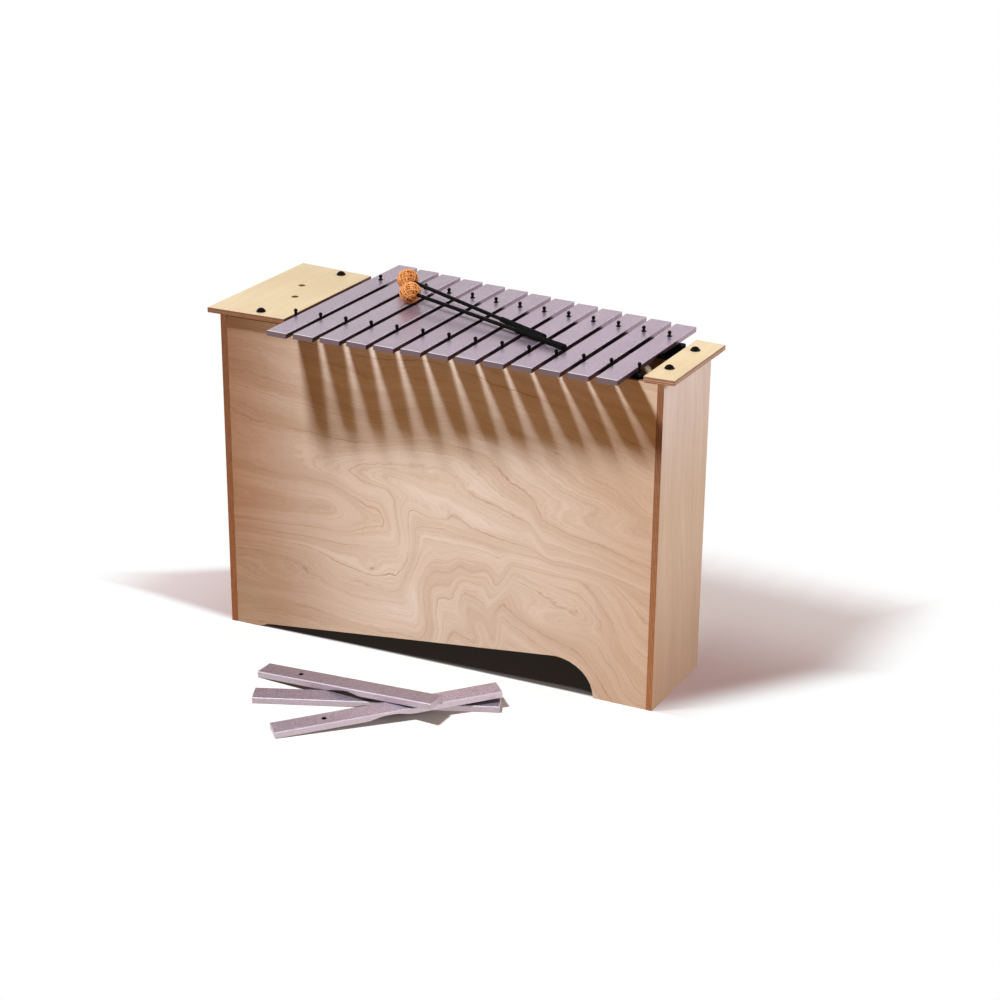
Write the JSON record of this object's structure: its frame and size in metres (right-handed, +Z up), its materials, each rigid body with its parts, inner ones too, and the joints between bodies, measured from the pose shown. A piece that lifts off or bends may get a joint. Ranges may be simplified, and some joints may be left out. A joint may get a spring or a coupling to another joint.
{
  "type": "bass metallophone",
  "caption": "Floor-standing tapered wooden resonator box with a row of loose metal tone bars on pins, ball-headed mallets lying across them and spare bars on the floor.",
  "frame": {"origin": "on the floor, at the middle of the outline that everything covers seen from above", "axes": "+X along the row of bars towards the short ones, +Y away from the player, +Z up"},
  "size_m": [0.9054, 0.7391, 0.6719],
  "materials": {
    "birch": "clear-varnished plywood with flowing contour grain",
    "pale_birch": "clear-varnished pale plywood",
    "bar_metal": "satin lilac-grey anodised",
    "black_plastic": "matte black",
    "cushion": "dull black soft strip",
    "screw_black": "glossy black domes",
    "yarn": "wound orange-tan yarn",
    "mallet_rod": "smooth black",
    "mallet_grip": "dull black"
  },
  "bodies": {
    "box": {"left_end_panel": "birch", "right_end_panel": "birch", "front_panel": "birch", "back_panel": "birch", "chamber_floor": "birch", "chamber_divider_1": "birch", "chamber_divider_2": "birch", "chamber_divider_3": "birch", "right_cleat": "birch", "left_top_board": "pale_birch", "right_top_board": "pale_birch", "front_rail": "black_plastic", "rear_rail": "black_plastic", "front_cushion": "cushion", "rear_cushion": "cushion", "left_board_screw_front": "screw_black", "left_board_screw_back": "screw_black", "right_board_screw_front": "screw_black", "right_board_screw_back": "screw_black", "rear_pin_01": "black_plastic", "rear_pin_02": "black_plastic", "rear_pin_03": "black_plastic", "rear_pin_04": "black_plastic", "rear_pin_05": "black_plastic", "rear_pin_06": "black_plastic", "rear_pin_07": "black_plastic", "rear_pin_08": "black_plastic", "rear_pin_09": "black_plastic", "rear_pin_10": "black_plastic", "rear_pin_11": "black_plastic", "rear_pin_12": "black_plastic", "rear_pin_13": "black_plastic", "tone_bar_02": "bar_metal", "tone_bar_03": "bar_metal", "tone_bar_04": "bar_metal", "tone_bar_05": "bar_metal", "tone_bar_06": "bar_metal", "tone_bar_07": "bar_metal", "tone_bar_08": "bar_metal", "tone_bar_09": "bar_metal", "tone_bar_10": "bar_metal"},
    "bar_1": {"tone_bar_01": "bar_metal"},
    "bar_11": {"tone_bar_11": "bar_metal"},
    "bar_12": {"tone_bar_12": "bar_metal"},
    "bar_13": {"tone_bar_13": "bar_metal"},
    "front_mallet": {"front_mallet_head": "yarn", "front_mallet_shaft": "mallet_rod", "front_mallet_grip": "mallet_grip"},
    "rear_mallet": {"rear_mallet_head": "yarn", "rear_mallet_shaft": "mallet_rod", "rear_mallet_grip": "mallet_grip"},
    "spare_bottom": {"spare_bar_bottom": "bar_metal"},
    "spare_middle": {"spare_bar_middle": "bar_metal"},
    "spare_top": {"spare_bar_top": "bar_metal"}
  },
  "joints": [
    {"name": "bar_1_lift", "type": "slide", "parent": "box", "child": "bar_1", "axis": [0, 0, 1], "range_m": [0, 0.1]},
    {"name": "bar_11_lift", "type": "slide", "parent": "box", "child": "bar_11", "axis": [0, 0, 1], "range_m": [0, 0.1]},
    {"name": "bar_12_lift", "type": "slide", "parent": "box", "child": "bar_12", "axis": [0, 0, 1], "range_m": [0, 0.1]},
    {"name": "bar_13_lift", "type": "slide", "parent": "box", "child": "bar_13", "axis": [0, 0, 1], "range_m": [0, 0.1]},
    {"name": "front_mallet_lift", "type": "slide", "parent": "box", "child": "front_mallet", "axis": [0, 0, 1], "range_m": [0, 0.2]},
    {"name": "rear_mallet_lift", "type": "slide", "parent": "box", "child": "rear_mallet", "axis": [0, 0, 1], "range_m": [0, 0.2]},
    {"name": "spare_bottom_lift", "type": "slide", "parent": "box", "child": "spare_bottom", "axis": [0, 0, 1], "range_m": [0, 0.1]},
    {"name": "spare_middle_lift", "type": "slide", "parent": "spare_bottom", "child": "spare_middle", "axis": [0, 0, 1], "range_m": [0, 0.1]},
    {"name": "spare_top_lift", "type": "slide", "parent": "spare_middle", "child": "spare_top", "axis": [0, 0, 1], "range_m": [0, 0.1]}
  ]
}
